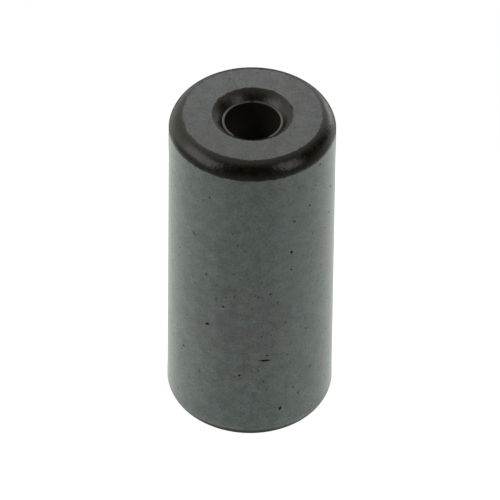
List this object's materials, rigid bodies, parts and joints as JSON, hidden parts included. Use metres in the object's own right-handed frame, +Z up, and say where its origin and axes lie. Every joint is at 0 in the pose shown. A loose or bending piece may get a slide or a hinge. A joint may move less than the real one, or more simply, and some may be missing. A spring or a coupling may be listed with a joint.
{
  "type": "cylindrical ferrite core",
  "caption": "Long ferrite sleeve core with ground wall and ends, rounded dark rims and a countersunk wire hole along its axis, slipped over a lead to choke interference.",
  "frame": {"origin": "middle of the end face that the core stands on, on the axis of the wire hole", "axes": "+Z up along the core's axis; the core is round, so X and Y are free"},
  "size_m": [0.005, 0.005, 0.0111],
  "materials": {
    "ferrite": "ground matt grey, with dark fired rims and hole"
  },
  "bodies": {
    "root": {"ferrite_core": "ferrite"}
  },
  "joints": []
}
